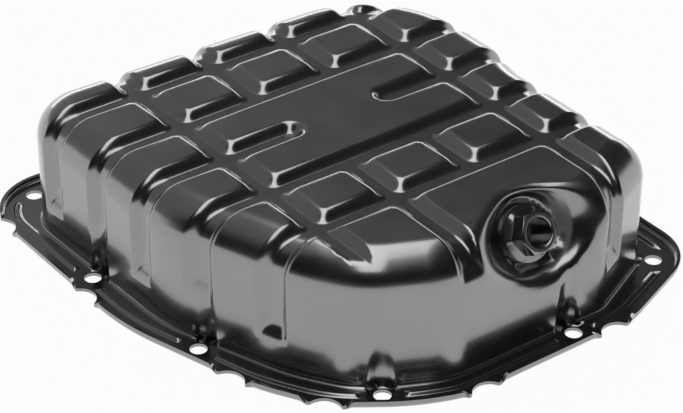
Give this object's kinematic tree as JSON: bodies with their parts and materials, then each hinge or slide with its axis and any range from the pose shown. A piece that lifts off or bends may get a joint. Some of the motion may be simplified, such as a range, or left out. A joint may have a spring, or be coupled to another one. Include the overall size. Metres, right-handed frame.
{
  "type": "engine oil pan",
  "caption": "Deep-drawn steel engine sump with a waffle-ribbed bottom, bolted sealing flange and a flanged hollow-hex drain plug in a side pocket",
  "frame": {"origin": "centre of the footprint, on the plane of the sealing face the pan stands on", "axes": "+Z points away from the engine, to the bottom of the sump, so the pan stands bottom side up on its flange; +X points to the side with the drain plug; the wall that steps in behind a bolt is on the +Y side"},
  "size_m": [0.2454, 0.2344, 0.0622],
  "materials": {
    "pan_paint": "gloss black paint on pressed steel",
    "plug_black": "smooth black coated steel",
    "washer_black": "smooth black coated metal"
  },
  "bodies": {
    "pan": {"oil_pan": "pan_paint", "drain_boss": "pan_paint"},
    "washer": {"drain_washer": "washer_black"},
    "plug": {"drain_plug": "plug_black"}
  },
  "joints": [
    {"name": "plug_travel", "type": "slide", "parent": "pan", "child": "washer", "axis": [0.8746, 0, 0.4848], "range_m": [0, 0.0105]},
    {"name": "plug_turn", "type": "hinge", "parent": "washer", "child": "plug", "pos_m": [0.09261, 0.02145, 0.0447], "axis": [0.8746, 0, 0.4848], "range_deg": [0, 2520]}
  ],
  "couplings": [
    {"joint": "plug_travel", "follows": "plug_turn", "m_per_rad": 0.00023873}
  ]
}
